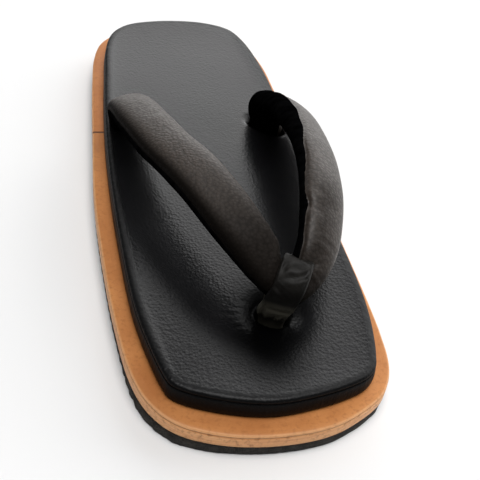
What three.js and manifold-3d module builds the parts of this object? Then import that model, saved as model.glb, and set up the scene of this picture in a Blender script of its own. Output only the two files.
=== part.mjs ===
// Flat-soled leather sandal of the geta family, right foot.
// Millimetres, +Z up, toe toward -Y, inner (medial) side toward +X.
// The origin is the middle of the footprint, on the ground.

import * as THREE from "three";
import { mergeVertices } from "three/addons/utils/BufferGeometryUtils.js";
import Module from "manifold-3d";

const wasm = await Module();
wasm.setup();

// Layers of the sole, from the ground up
const OUTSOLE_THICK = 4.9;
const WELT_THICK = 6.8;
const FOOTBED_THICK = 9.7;
const OUTSOLE_TOP = OUTSOLE_THICK;
const WELT_TOP = OUTSOLE_TOP + WELT_THICK;
const FOOTBED_TOP = WELT_TOP + FOOTBED_THICK;

// Clearance between curved pieces, and between the two welt boards
const FIT_GAP = 0.3;

// The outsole is cut a little inside the welt
const OUTSOLE_INSET = 0.4;

// Cross-ribbed tread and the slight toe spring
const RIB_PITCH = 5.2;
const RIB_LAND = 3.0;
const RIB_DEPTH = 1.3;
const RIB_FLANK = 0.5;
const TREAD_REACH = 122;
const TOE_SPRING = 0.7;
const TOE_SPRING_LENGTH = 24;

// Where the front and heel boards of the welt meet
const WELT_JOINT_Y = 38.3;

// Dish of the footbed between its rounded edges, drawn toward its long middle line
const FOOTBED_DISH = 1.1;
const MIDDLE_LINE = { halfLength: 92, x: -1, slope: -0.012 };

// Hollow pressed into the footbed around the thong: share of its radius and of its depth
const DIMPLE_RADIUS = 13;
const DIMPLE_DEPTH = 2.0;
const DIMPLE_PROFILE = [
  { out: 0, down: 1 },
  { out: 0.35, down: 0.9 },
  { out: 0.65, down: 0.5 },
  { out: 1, down: 0 },
];
const DIMPLE_CUT_HEIGHT = 3;
const DIMPLE_RISE = 0.1;

// How finely outlines and straps are cut
const OUTLINE_POINTS = 100;
const SECTION_POINTS = 18;
const STEPS_PER_ROW = 3;
const TOE_SPRING_STEPS = 4;
const DIMPLE_SEGMENTS = 24;

// Points nearer than this are one, and cutters reach this far past what they cut
const SAME_POINT = 1e-4;
const OVERSHOOT = 1;
const CUTTER_REACH = 150;

// Outer edge of the welt, anticlockwise from the toe, seen from above
const WELT_OUTLINE = [
  { at: "toe", x: 3, y: -132.2 },
  { at: "toe, inner", x: 22.5, y: -130.1 },
  { at: "inner toe corner", x: 35, y: -124.8 },
  { at: "inner toe corner", x: 45.6, y: -117 },
  { at: "inner toe corner", x: 50.9, y: -105.8 },
  { at: "ball, inner", x: 52.15, y: -91.5 },
  { at: "ball, inner", x: 51.9, y: -74 },
  { at: "waist, inner", x: 49.8, y: -35 },
  { at: "waist, inner", x: 47.5, y: 0 },
  { at: "heel, inner", x: 45.1, y: 40 },
  { at: "heel, inner", x: 43.2, y: 75 },
  { at: "inner heel corner", x: 41.4, y: 95 },
  { at: "inner heel corner", x: 37.6, y: 110 },
  { at: "inner heel corner", x: 30.5, y: 121.5 },
  { at: "heel", x: 18, y: 129.4 },
  { at: "heel", x: 0, y: 132.1 },
  { at: "heel", x: -20, y: 131 },
  { at: "outer heel corner", x: -34, y: 126 },
  { at: "outer heel corner", x: -42.6, y: 116.5 },
  { at: "outer heel corner", x: -46.8, y: 102 },
  { at: "heel, outer", x: -48.8, y: 80 },
  { at: "waist, outer", x: -50.8, y: 36 },
  { at: "waist, outer", x: -52.2, y: -8 },
  { at: "ball, outer", x: -50.6, y: -48 },
  { at: "ball, outer", x: -48.2, y: -77 },
  { at: "outer toe corner", x: -44.6, y: -101 },
  { at: "outer toe corner", x: -39.8, y: -114 },
  { at: "outer toe corner", x: -31.5, y: -123.6 },
  { at: "toe, outer", x: -16.5, y: -129.9 },
];

// Edge of the footbed, the same way round
const FOOTBED_OUTLINE = [
  { at: "toe", x: 2, y: -124.9 },
  { at: "toe, inner", x: 16, y: -123.4 },
  { at: "toe, inner", x: 30, y: -119.9 },
  { at: "inner toe corner", x: 37.6, y: -116.6 },
  { at: "inner toe corner", x: 41, y: -113.4 },
  { at: "inner toe corner", x: 43, y: -108 },
  { at: "ball, inner", x: 45.3, y: -96 },
  { at: "ball, inner", x: 46.6, y: -78 },
  { at: "waist, inner", x: 44.6, y: -36 },
  { at: "waist, inner", x: 42, y: 0 },
  { at: "heel, inner", x: 39.4, y: 42 },
  { at: "heel, inner", x: 37.4, y: 74 },
  { at: "inner heel corner", x: 34.6, y: 93 },
  { at: "inner heel corner", x: 31, y: 107 },
  { at: "inner heel corner", x: 25.5, y: 117.5 },
  { at: "heel", x: 14, y: 123.6 },
  { at: "heel", x: -2, y: 125.6 },
  { at: "heel", x: -18, y: 124 },
  { at: "outer heel corner", x: -29.5, y: 120 },
  { at: "outer heel corner", x: -37, y: 112 },
  { at: "outer heel corner", x: -41, y: 99 },
  { at: "heel, outer", x: -43.2, y: 74 },
  { at: "waist, outer", x: -45.4, y: 32 },
  { at: "waist, outer", x: -45.6, y: -6 },
  { at: "ball, outer", x: -44, y: -46 },
  { at: "ball, outer", x: -41.2, y: -80 },
  { at: "outer toe corner", x: -36.6, y: -102 },
  { at: "outer toe corner", x: -34.2, y: -110 },
  { at: "outer toe corner", x: -31.6, y: -115 },
  { at: "outer toe corner", x: -26.5, y: -118 },
  { at: "toe, outer", x: -13, y: -122.6 },
];

// Side of each layer, from its bottom to its top: inset from the outline and height in the layer
const OUTSOLE_SIDE = [
  { inset: 0.2, rise: -2.0 },
  { inset: 0.2, rise: 0.4 },
  { inset: 0.0, rise: 1.4 },
  { inset: 0.3, rise: OUTSOLE_THICK },
];
const WELT_SIDE = [
  { inset: 0.5, rise: 0.0 },
  { inset: 0.0, rise: 0.7 },
  { inset: 0.0, rise: 5.2 },
  { inset: 0.35, rise: 5.5 },
  { inset: 0.1, rise: 5.8 },
  { inset: 0.3, rise: 6.4 },
  { inset: 0.9, rise: WELT_THICK },
];
const FOOTBED_SIDE = [
  { inset: 0.3, rise: 0.0 },
  { inset: -0.4, rise: 2.6 },
  { inset: 0.0, rise: 7.2 },
  { inset: 0.6, rise: 7.6 },
  { inset: 0.2, rise: 8.0 },
  { inset: 0.8, rise: 9.0 },
  { inset: 1.9, rise: 9.5 },
  { inset: 3.6, rise: FOOTBED_THICK },
];
// Inner rings of the footbed top: share of the way from the edge to the long middle line
const FOOTBED_DISH_RINGS = [0.18, 0.42, 0.72];

// Arms of the strap: middle of the section, heading and lean of its width, width and thickness.
// The width points to the inner side of the foot. Heading is in degrees from +X in plan.
const ROOT_Z = WELT_TOP + FIT_GAP;
const OUTER_ARM = [
  { x: -36, y: 33.5, z: ROOT_Z, heading: 21, lean: 0, width: 15.5, thick: 8.6 },
  { x: -36, y: 33.5, z: 17, heading: 21, lean: 0, width: 15.5, thick: 8.6 },
  { x: -36, y: 33.5, z: 22.3, heading: 21, lean: 0, width: 15.5, thick: 8.6 },
  { x: -36.3, y: 33, z: 28.6, heading: 21, lean: 0, width: 17, thick: 9.2 },
  { x: -35.2, y: 25.8, z: 34.4, heading: 21, lean: 2, width: 19, thick: 9.6 },
  { x: -31.5, y: 8.2, z: 40.2, heading: 21, lean: 5, width: 20.5, thick: 9.8 },
  { x: -24.5, y: -14.8, z: 44.5, heading: 22, lean: 8, width: 21, thick: 10 },
  { x: -16, y: -33.8, z: 46.3, heading: 23, lean: 10, width: 21, thick: 10 },
  { x: -8, y: -52.3, z: 45.6, heading: 25, lean: 13, width: 20.5, thick: 10 },
  { x: -0.5, y: -68.4, z: 43, heading: 30, lean: 22, width: 18.5, thick: 9.6 },
  { x: 6, y: -79, z: 39, heading: 42, lean: 40, width: 16, thick: 9 },
  { x: 13, y: -85, z: 35.2, heading: 78, lean: 56, width: 14, thick: 8.4 },
];
const INNER_ARM = [
  { x: 29, y: 31.5, z: ROOT_Z, heading: -42, lean: 0, width: 16.5, thick: 8.6 },
  { x: 29, y: 31.5, z: 17, heading: -42, lean: 0, width: 16.5, thick: 8.6 },
  { x: 29, y: 31.5, z: 22.3, heading: -42, lean: 0, width: 16.5, thick: 8.6 },
  { x: 28.9, y: 31.8, z: 28, heading: -36, lean: -4, width: 19, thick: 9.6 },
  { x: 30.4, y: 27.4, z: 33.2, heading: -24, lean: -14, width: 21, thick: 10.6 },
  { x: 32.8, y: 17.4, z: 38, heading: -12, lean: -26, width: 22, thick: 11 },
  { x: 34.2, y: 2, z: 42.8, heading: -4, lean: -34, width: 22.4, thick: 11 },
  { x: 34.4, y: -15, z: 46.2, heading: -3, lean: -39, width: 22.4, thick: 11 },
  { x: 33.2, y: -33, z: 48, heading: -8, lean: -41, width: 22, thick: 11 },
  { x: 31, y: -50, z: 47.2, heading: -15, lean: -41, width: 21, thick: 10.8 },
  { x: 27.8, y: -64, z: 44.6, heading: -24, lean: -41, width: 19.4, thick: 10.2 },
  { x: 24.2, y: -74, z: 41.2, heading: -38, lean: -44, width: 17, thick: 9.4 },
  { x: 19, y: -81.4, z: 37.8, heading: -60, lean: -50, width: 15.5, thick: 8.8 },
  { x: 13, y: -85, z: 35.2, heading: -102, lean: -56, width: 14, thick: 8.4 },
];

// Toe thong: its two legs in their own leaning plane, where "along" runs toward the heel
// from the middle of the strap's joint
const THONG_TOP = { x: 14.2, y: -84.6, z: 42 };
const THONG_FOOT = { x: 9.2, y: -85, z: 24 };
const THONG_HEADING = -26;
const THONG_LEAN = -5;
const THONG_FRONT_LEG = [
  { along: 3.4, z: 43, width: 11.5, thick: 3.2 },
  { along: -1.6, z: 42.4, width: 11.5, thick: 3.2 },
  { along: -6, z: 38.8, width: 11.5, thick: 3.2 },
  { along: -7.8, z: 33, width: 11.5, thick: 3.2 },
  { along: -5.6, z: 27, width: 10.5, thick: 3.8 },
  { along: -2.4, z: 22.6, width: 10, thick: 4.6 },
  { along: -2.2, z: 17, width: 9.6, thick: 4.6 },
  { along: -2.2, z: ROOT_Z, width: 9.6, thick: 4.6 },
];
const THONG_REAR_LEG = [
  { along: -1.6, z: 42.4, width: 11.5, thick: 3.2 },
  { along: 3.4, z: 43, width: 11.5, thick: 3.2 },
  { along: 7.4, z: 40, width: 11.5, thick: 3.2 },
  { along: 7.6, z: 35, width: 11.5, thick: 3.2 },
  { along: 4.8, z: 29, width: 11, thick: 3.6 },
  { along: 2.2, z: 24, width: 10.2, thick: 4.4 },
  { along: 1.8, z: 20, width: 9.6, thick: 4.6 },
  { along: 1.8, z: ROOT_Z, width: 9.6, thick: 4.6 },
];
const THONG_HOLE = { width: 10.6, thick: 9.8, along: -0.2 };

// Shape of a padded section: how square it is, and how flat its underside is
const PAD_SQUARENESS = 2.5;
const PAD_UNDER_SHARE = 0.42;
const BAND_SQUARENESS = 3.4;
const BAND_UNDER_SHARE = 0.5;

function material(color, roughness) {
  return new THREE.MeshStandardMaterial({ color, roughness, metalness: 0 });
}

const RUBBER = material(0x24211f, 0.95);
const TAN_LEATHER = material(0xb8703f, 0.5);
const TAN_LEATHER_HEEL = material(0xb06a3d, 0.5);
const BLACK_LEATHER = material(0x1f1f21, 0.42);
const BROWN_LEATHER = material(0x4b4640, 0.6);
const THONG_LEATHER = material(0x17171a, 0.35);

// A closed geometry becomes a solid that can be joined and cut
function solid(geometry) {
  const bare = geometry.index ? geometry.toNonIndexed() : geometry.clone();
  bare.deleteAttribute("normal");
  bare.deleteAttribute("uv");
  const merged = mergeVertices(bare, SAME_POINT);
  return new wasm.Manifold(new wasm.Mesh({
    numProp: 3,
    vertProperties: new Float32Array(merged.attributes.position.array),
    triVerts: new Uint32Array(merged.index.array),
  }));
}

function piece(name, body, finish) {
  const made = body.getMesh();
  const geometry = new THREE.BufferGeometry();
  geometry.setAttribute("position", new THREE.BufferAttribute(made.vertProperties, 3));
  geometry.setIndex(new THREE.BufferAttribute(made.triVerts, 1));
  geometry.computeVertexNormals();
  const mesh = new THREE.Mesh(geometry, finish);
  mesh.name = name;
  return mesh;
}

// Skin over a row of equal rings, each end closed by a fan
function loft(rings) {
  const count = rings[0].length;
  const points = rings.flat();
  const faces = [];
  for (let level = 0; level < rings.length - 1; level += 1) {
    for (let i = 0; i < count; i += 1) {
      const next = (i + 1) % count;
      const low = level * count;
      const high = low + count;
      faces.push(low + i, low + next, high + next);
      faces.push(low + i, high + next, high + i);
    }
  }
  const closeEnd = (ring, start, flip) => {
    const middle = ring.reduce((sum, p) => sum.add(p), new THREE.Vector3()).divideScalar(count);
    const centre = points.push(middle) - 1;
    for (let i = 0; i < count; i += 1) {
      const next = (i + 1) % count;
      faces.push(centre, start + (flip ? next : i), start + (flip ? i : next));
    }
  };
  closeEnd(rings[0], 0, true);
  closeEnd(rings[rings.length - 1], (rings.length - 1) * count, false);
  const geometry = new THREE.BufferGeometry().setFromPoints(points);
  geometry.setIndex(faces);
  return geometry;
}

// Even points along a closed outline
function outlineLoop(rows) {
  const corners = rows.map((row) => new THREE.Vector3(row.x, row.y, 0));
  const curve = new THREE.CatmullRomCurve3(corners, true, "centripetal");
  return curve.getSpacedPoints(OUTLINE_POINTS).slice(0, OUTLINE_POINTS);
}

const weltEdge = outlineLoop(WELT_OUTLINE);
const footbedEdge = outlineLoop(FOOTBED_OUTLINE);

function insetPoint(loop, index, distance) {
  const count = loop.length;
  const before = loop[(index + count - 1) % count];
  const after = loop[(index + 1) % count];
  const along = after.clone().sub(before).normalize();
  return loop[index].clone().add(new THREE.Vector3(-along.y, along.x, 0).multiplyScalar(distance));
}

function insetLoop(loop, distance) {
  return loop.map((point, index) => insetPoint(loop, index, distance));
}

function layerRings(edge, base, side) {
  return side.map((row) => insetLoop(edge, row.inset)
    .map((point) => point.setZ(base + row.rise)));
}

// Tread: everything below the ribs and the toe spring is cut away across the sole
function treadLine() {
  const line = [];
  const springStart = -TREAD_REACH + TOE_SPRING_LENGTH / 2;
  for (let y = TREAD_REACH; y - RIB_PITCH > springStart; y -= RIB_PITCH) {
    const groove = y - RIB_LAND;
    line.push([y, 0], [groove, 0]);
    line.push([groove - RIB_FLANK, RIB_DEPTH], [y - RIB_PITCH + RIB_FLANK, RIB_DEPTH]);
  }
  const lastLand = line[line.length - 1][0] - RIB_FLANK;
  line.push([lastLand, 0], [springStart, 0]);
  for (let step = 1; step <= TOE_SPRING_STEPS; step += 1) {
    const share = step / TOE_SPRING_STEPS;
    line.push([springStart - TOE_SPRING_LENGTH * share, TOE_SPRING * share * share]);
  }
  return line;
}

function treadCutter() {
  const below = OUTSOLE_SIDE[0].rise - OVERSHOOT;
  const shape = new THREE.Shape();
  shape.moveTo(CUTTER_REACH, below);
  shape.lineTo(CUTTER_REACH, 0);
  treadLine().forEach(([y, z]) => shape.lineTo(y, z));
  shape.lineTo(-CUTTER_REACH, TOE_SPRING);
  shape.lineTo(-CUTTER_REACH, below);
  shape.closePath();
  const cutter = new THREE.ExtrudeGeometry(shape, { depth: CUTTER_REACH, bevelEnabled: false });
  // The profile is drawn in Y and Z: turn it so that its depth runs across the sole
  cutter.applyMatrix4(new THREE.Matrix4().makeBasis(
    new THREE.Vector3(0, 1, 0), new THREE.Vector3(0, 0, 1), new THREE.Vector3(1, 0, 0)));
  cutter.translate(-CUTTER_REACH / 2, 0, 0);
  return solid(cutter);
}

function makeOutsole() {
  const edge = insetLoop(weltEdge, OUTSOLE_INSET);
  return solid(loft(layerRings(edge, 0, OUTSOLE_SIDE))).subtract(treadCutter());
}

function makeWelt() {
  const board = solid(loft(layerRings(weltEdge, OUTSOLE_TOP, WELT_SIDE)));
  const size = 2 * CUTTER_REACH;
  const half = (toward) => {
    const box = new THREE.BoxGeometry(size, size, size);
    box.translate(0, WELT_JOINT_Y + toward * (size + FIT_GAP) / 2, 0);
    return board.intersect(solid(box));
  };
  return { front: half(-1), heel: half(1) };
}

// Nearest place on the footbed's long middle line, from which its dish is drawn
function middlePlace(point) {
  const { halfLength, x, slope } = MIDDLE_LINE;
  return new THREE.Vector3(
    x + point.y * slope, THREE.MathUtils.clamp(point.y, -halfLength, halfLength), 0);
}

// A padded section: square-shouldered oval, flatter beneath
function padSection(width, thick, squareness, underShare) {
  const power = 2 / squareness;
  return Array.from({ length: SECTION_POINTS }, (_, i) => {
    const angle = (i / SECTION_POINTS) * 2 * Math.PI;
    const cos = Math.cos(angle);
    const sin = Math.sin(angle);
    const share = sin < 0 ? underShare : 1 - underShare;
    return {
      across: 0.5 * width * Math.sign(cos) * Math.abs(cos) ** power,
      out: thick * share * Math.sign(sin) * Math.abs(sin) ** power,
    };
  });
}

function direction(heading, lean) {
  const turn = THREE.MathUtils.degToRad(heading);
  const rise = THREE.MathUtils.degToRad(lean);
  return new THREE.Vector3(
    Math.cos(turn) * Math.cos(rise), Math.sin(turn) * Math.cos(rise), Math.sin(rise));
}

// A padded strip through its rows, grown by an even margin where a hole is cut for it
function strip(rows, squareness, underShare, margin = 0) {
  const through = (pick) => new THREE.CatmullRomCurve3(rows.map(pick), false, "catmullrom", 0.5);
  const path = through((row) => new THREE.Vector3(row.x, row.y, row.z));
  const size = through((row) => new THREE.Vector3(row.width, row.thick, 0));
  const widthWay = through((row) => direction(row.heading, row.lean));
  const steps = (rows.length - 1) * STEPS_PER_ROW;
  const rings = [];
  for (let step = 0; step <= steps; step += 1) {
    const share = step / steps;
    const tangent = path.getTangent(share);
    const across = widthWay.getPoint(share);
    across.addScaledVector(tangent, -across.dot(tangent)).normalize();
    const out = new THREE.Vector3().crossVectors(tangent, across);
    const { x: width, y: thick } = size.getPoint(share);
    const section = padSection(width + 2 * margin, thick + 2 * margin, squareness, underShare);
    const middle = path.getPoint(share);
    if (step === 0) middle.addScaledVector(tangent, -margin);
    if (step === steps) middle.addScaledVector(tangent, margin);
    rings.push(section.map((p) => middle.clone()
      .addScaledVector(across, p.across)
      .addScaledVector(out, p.out)));
  }
  return solid(outward(loft(rings)));
}

// Faces are turned over where the rings run the other way round
function outward(geometry) {
  const place = geometry.attributes.position;
  const index = geometry.index;
  const corner = (i) => new THREE.Vector3().fromBufferAttribute(place, index.getX(i));
  let volume = 0;
  for (let i = 0; i < index.count; i += 3) {
    volume += corner(i).dot(corner(i + 1).cross(corner(i + 2)));
  }
  if (volume < 0) {
    for (let i = 0; i < index.count; i += 3) {
      const first = index.getX(i);
      index.setX(i, index.getX(i + 1));
      index.setX(i + 1, first);
    }
  }
  return geometry;
}

function makeUpper(margin = 0) {
  const outer = strip(OUTER_ARM, PAD_SQUARENESS, PAD_UNDER_SHARE, margin);
  const inner = strip(INNER_ARM, PAD_SQUARENESS, PAD_UNDER_SHARE, margin);
  return outer.add(inner);
}

// A leg of the thong, from its own leaning plane into the sandal's frame
function thongRows(leg) {
  const back = direction(THONG_HEADING + 90, 0);
  return leg.map((row) => {
    const share = THREE.MathUtils.smoothstep(row.z, THONG_FOOT.z, THONG_TOP.z);
    return {
      ...row,
      x: THREE.MathUtils.lerp(THONG_FOOT.x, THONG_TOP.x, share) + back.x * row.along,
      y: THREE.MathUtils.lerp(THONG_FOOT.y, THONG_TOP.y, share) + back.y * row.along,
      heading: THONG_HEADING,
      lean: THONG_LEAN * share,
    };
  });
}

// The thong is hollowed by the strap that it holds
function makeThong() {
  const front = strip(thongRows(THONG_FRONT_LEG), BAND_SQUARENESS, BAND_UNDER_SHARE);
  const rear = strip(thongRows(THONG_REAR_LEG), BAND_SQUARENESS, BAND_UNDER_SHARE);
  return front.add(rear).subtract(makeUpper(FIT_GAP));
}

// Straight holes through the footbed for the strap's ends and the thong
function holeRows(row) {
  return [WELT_TOP - OVERSHOOT, FOOTBED_TOP + OVERSHOOT].map((z) => ({ ...row, z }));
}

// The hollow's cutter, turned about the thong's foot
function dimpleCutter() {
  const profile = DIMPLE_PROFILE.map(({ out, down }) => (
    new THREE.Vector2(DIMPLE_RADIUS * out, -DIMPLE_DEPTH * down)));
  profile.push(
    new THREE.Vector2(DIMPLE_RADIUS, DIMPLE_CUT_HEIGHT), new THREE.Vector2(0, DIMPLE_CUT_HEIGHT));
  const dimple = new THREE.LatheGeometry(profile, DIMPLE_SEGMENTS);
  dimple.rotateX(Math.PI / 2);
  dimple.translate(THONG_FOOT.x, THONG_FOOT.y, FOOTBED_TOP - FOOTBED_DISH + DIMPLE_RISE);
  return solid(outward(dimple));
}

function makeFootbed() {
  const rings = layerRings(footbedEdge, WELT_TOP, FOOTBED_SIDE);
  const brow = rings[rings.length - 1];
  FOOTBED_DISH_RINGS.forEach((share) => {
    const sunk = FOOTBED_DISH * (1 - (1 - share) ** 2);
    rings.push(brow.map((point) => point.clone().lerp(middlePlace(point), share)
      .setZ(FOOTBED_TOP - sunk)));
  });
  const thongHole = thongRows(holeRows(THONG_HOLE));
  let bed = solid(loft(rings))
    .subtract(dimpleCutter())
    .subtract(strip(thongHole, BAND_SQUARENESS, BAND_UNDER_SHARE, FIT_GAP));
  [OUTER_ARM, INNER_ARM].forEach((arm) => {
    bed = bed.subtract(strip(holeRows(arm[0]), PAD_SQUARENESS, PAD_UNDER_SHARE, FIT_GAP));
  });
  return bed;
}

const welt = makeWelt();
const sandal = new THREE.Group();
sandal.add(piece("outsole", makeOutsole(), RUBBER));
sandal.add(piece("welt_front", welt.front, TAN_LEATHER));
sandal.add(piece("welt_heel", welt.heel, TAN_LEATHER_HEEL));
sandal.add(piece("footbed", makeFootbed(), BLACK_LEATHER));
sandal.add(piece("strap_upper", makeUpper(), BROWN_LEATHER));
sandal.add(piece("toe_thong", makeThong(), THONG_LEATHER));

export default sandal;
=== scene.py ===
"""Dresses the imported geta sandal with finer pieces, finishes, a floor, light and a camera.

Metres, +Z up, toe toward -Y, inner (medial) side toward +X, as in the frame. Tables are in millimetres.
"""

import math
from bisect import bisect_right
from collections import namedtuple

import bmesh
import bpy
from bpy.props import FloatProperty, FloatVectorProperty, PointerProperty
from mathutils import Matrix, Vector, kdtree, noise


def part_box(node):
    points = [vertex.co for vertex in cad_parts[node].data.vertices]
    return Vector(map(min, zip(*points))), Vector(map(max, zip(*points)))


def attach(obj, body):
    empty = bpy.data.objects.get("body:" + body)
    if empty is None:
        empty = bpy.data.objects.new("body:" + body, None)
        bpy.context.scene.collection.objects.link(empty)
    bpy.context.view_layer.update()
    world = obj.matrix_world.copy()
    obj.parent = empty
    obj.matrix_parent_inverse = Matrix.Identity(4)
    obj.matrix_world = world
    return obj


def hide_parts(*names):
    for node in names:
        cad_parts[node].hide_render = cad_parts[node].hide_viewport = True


bl_info = {
    "name": "Geta Sandal",
    "version": (1, 0, 0),
    "blender": (4, 5, 0),
    "location": "View3D > Sidebar > Sandal",
    "description": "Makes the pieces, finishes and stage of a flat leather geta sandal",
    "category": "Object",
}

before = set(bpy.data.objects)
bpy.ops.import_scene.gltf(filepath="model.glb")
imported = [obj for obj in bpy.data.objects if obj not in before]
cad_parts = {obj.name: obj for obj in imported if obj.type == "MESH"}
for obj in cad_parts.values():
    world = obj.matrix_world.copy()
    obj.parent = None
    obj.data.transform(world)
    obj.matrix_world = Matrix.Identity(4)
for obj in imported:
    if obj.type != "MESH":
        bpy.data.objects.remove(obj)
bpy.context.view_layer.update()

MM = 0.001
BODY = "root"
OUTSOLE_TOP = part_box("outsole")[1].z
WELT_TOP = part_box("welt_front")[1].z
FOOTBED_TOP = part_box("footbed")[1].z
WELT_JOINT_Y = (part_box("welt_front")[1].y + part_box("welt_heel")[0].y) / 2
JOINT_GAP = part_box("welt_heel")[0].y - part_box("welt_front")[1].y

# Heights at which the frame's nodes have their full outline
OUTSOLE_EDGE_Z = 1.4 * MM
FOOTBED_EDGE_RISE = 7.2 * MM
LEVEL_SLACK = 0.01 * MM
SAME_POINT = 0.002 * MM
SAME_BROW_POINT = 0.02 * MM

# How finely the pieces are cut
EDGE_POINTS = 600
CURVE_STEPS = 12
TOP_ACROSS = 78
TOP_ALONG = 212
STRAP_STEP = 0.85 * MM
STRAP_AROUND = 84
THONG_STEP = 0.55 * MM
THONG_AROUND = 60
LINING_AROUND = 44
STRIP_STEPS = 2000
ROOM_STEPS = 140
# Small steps that slopes are measured over: in rows and in radians
ROW_NUDGE = 1e-3
ANGLE_NUDGE = 0.02
# Edges sharper than this, in degrees, stay crisp
OUTSOLE_CRISP = 40
BOARD_CRISP = 60

# Side of each layer from its bottom to its top: inset from its edge and height in the layer
OUTSOLE_SIDE = [(0.25, 0.0), (0.1, 0.25), (0.0, 0.9), (0.0, 2.2), (0.1, 3.6), (0.25, 4.6), (0.5, 4.9)]
WELT_SIDE = [
    (0.6, 0.0), (0.2, 0.25), (0.0, 0.8), (0.0, 2.2), (0.0, 3.6), (0.02, 4.9), (0.12, 5.2),
    (0.36, 5.42), (0.38, 5.56), (0.14, 5.76), (0.08, 6.0), (0.2, 6.35), (0.5, 6.62), (0.9, 6.76),
    (1.6, 6.8), (3.4, 6.72),
]
FOOTBED_SIDE = [
    (0.6, 0.0), (0.1, 0.5), (-0.25, 1.4), (-0.4, 2.8), (-0.35, 4.4), (-0.15, 6.0), (0.0, 7.0),
    (0.16, 7.3), (0.56, 7.5), (0.62, 7.62), (0.26, 7.8), (0.12, 8.1), (0.18, 8.6), (0.4, 9.05),
    (0.8, 9.38), (1.35, 9.58), (2.2, 9.68), (3.6, 9.7),
]
FOOTBED_DISH = 1.1 * MM
DISH_EVENNESS = (2.0, 6.0)
BED_WAVE_HEIGHT = 0.05 * MM
BED_WAVE_SPAN = 31 * MM
BED_WAVE_START = 6 * MM
WELT_JOINT_BEVEL = 0.35 * MM

# Tread: lands and grooves across the sole, and the slight toe spring
RIB_PITCH = 5.2 * MM
RIB_LAND = 3.0 * MM
RIB_FLANK = 0.5 * MM
RIB_DEPTH = 1.3 * MM
TREAD_REACH = 122 * MM
TOE_SPRING = 0.7 * MM
TOE_SPRING_LENGTH = 24 * MM

# Torn side of the rubber: where it flares past the board, the ribs' ends and the tears, all of them
# full up to the first height and gone at the second. Fine tears are closer together and lower.
FLARE_HEADING = Vector((-0.75, -0.66, 0))
FLARE_SPREAD = (0.78, 0.98)
FLARE = 0.6 * MM
NUB_REACH = 0.3 * MM
FRAY_REACH = 0.28 * MM
SIDE_FRAY = 0.35
FRAY_SPAN = 2.2 * MM
FRAY_HEIGHTS = (2.4 * MM, 4.5 * MM)
FINE_TEARS = (3.1, 0.6)
TORN_FOOT = 0.8

# The strap's two arms: x, y and z of the section's middle, heading and lean of its width, width and
# thickness. Each starts straight down in its hole.
ROOT_HEIGHTS = (12, 17, 22.3)
OUTER_ARM = [
    *((-36, 33.5, z, 21, 0, 15.5, 8.6) for z in ROOT_HEIGHTS),
    (-36.3, 33, 28.6, 21, 0, 17, 9.2),
    (-35.2, 25.8, 34.4, 21, 2, 19, 9.6),
    (-31.5, 8.2, 40.2, 21, 5, 20.5, 9.8),
    (-24.5, -14.8, 44.5, 22, 8, 21, 10),
    (-16, -33.8, 46.3, 23, 10, 21, 10),
    (-8, -52.3, 45.6, 25, 13, 20.5, 10),
    (-0.5, -68.4, 43, 30, 22, 18.5, 9.6),
    (6, -79, 39, 42, 40, 16, 9),
    (13, -85, 35.2, 78, 56, 14, 8.4),
]
INNER_ARM = [
    *((29, 31.5, z, -42, 0, 16.5, 8.6) for z in ROOT_HEIGHTS),
    (28.9, 31.8, 28, -36, -4, 19, 9.6),
    (30.4, 27.4, 33.2, -24, -14, 21, 10.6),
    (32.8, 17.4, 38, -12, -26, 22, 11),
    (34.2, 2, 42.8, -4, -34, 22.4, 11),
    (34.4, -15, 46.2, -3, -39, 22.4, 11),
    (33.2, -33, 48, -8, -41, 22, 11),
    (31, -50, 47.2, -15, -41, 21, 10.8),
    (27.8, -64, 44.6, -24, -41, 19.4, 10.2),
    (24.2, -74, 41.2, -38, -44, 17, 9.4),
    (19, -81.4, 37.8, -60, -50, 15.5, 8.8),
]
JOINT_ROW = len(OUTER_ARM) - 1
PAD_SQUARENESS = 2.5
PAD_UNDER_SHARE = 0.42
# Girth of a rounded section, as a share of its box's
GIRTH_SHARE = 0.86

# Seams between leather and lining: row of the strap, and angles of the inside and the outside seam
# round the section in degrees. 90 is the top of the pad, 0 the edge inside the V, 180 the edge
# outside it.
SEAMS = [
    (0, -12, 184),
    (4, -12, 170),
    (6, -12, 163),
    (8, -12, 158),
    (10, -10, 155),
    (11, 0, 160),
    (12.4, 26, 176),
    (13.5, 12, 188),
    (14.2, 17, 190),
    (14.9, 6, 190),
    (16, 20, 190),
    (17, 44, 190),
    (18, 64, 190),
    (19.2, 82, 192),
    (24, 84, 192),
]
SEAM_DEPTH = 0.5 * MM
SEAM_HALF_WIDTH = 0.9 * MM
LINING_PROUD = 0.28 * MM
LINING_SUNK = 0.45 * MM
LINING_EDGE_WIDTH = 1.6 * MM
LINING_EDGE_SUNK = 0.1 * MM

# A crease: where it fades, as shares of its length, and the ridges beside it, as shares of its
# depth and width
CREASE_FADE = (0.5, 0.16)
RIDGE_HEIGHT = 0.55
RIDGE_PLACE = 1.7
RIDGE_BREADTH = 0.5
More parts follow.
